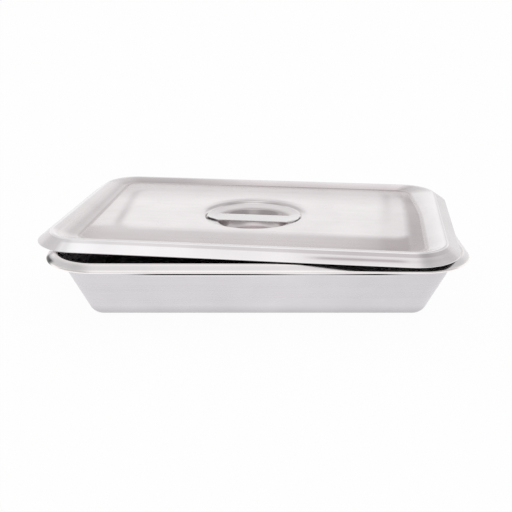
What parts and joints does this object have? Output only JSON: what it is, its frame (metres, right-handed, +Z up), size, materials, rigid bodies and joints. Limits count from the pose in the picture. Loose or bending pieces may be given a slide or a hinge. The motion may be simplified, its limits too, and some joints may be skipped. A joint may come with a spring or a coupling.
{
  "type": "instrument tray",
  "caption": "Shallow drawn steel tray with leaning walls and a turned rim, under a loose pressed lid with a strap handle across a round finger recess.",
  "frame": {"origin": "centre of the tray's flat underside, on the surface that it stands on", "axes": "+X along the tray's length, +Y across it from the front to the back, +Z up"},
  "size_m": [0.3256, 0.2378, 0.0586],
  "materials": {
    "pan_steel": "satin brushed walls, polished rim",
    "lid_steel": "satin brushed panel, polished ridge and skirt",
    "strap_steel": "polished",
    "weld_steel": "matt fused steel"
  },
  "bodies": {
    "tray": {"tray_pan": "pan_steel"},
    "lid": {"lid_cover": "lid_steel", "handle_strap": "strap_steel", "spot_welds": "weld_steel"}
  },
  "joints": [
    {"name": "lid_lift", "type": "slide", "parent": "tray", "child": "lid", "axis": [0, 0, 1], "range_m": [0, 0.12]}
  ]
}
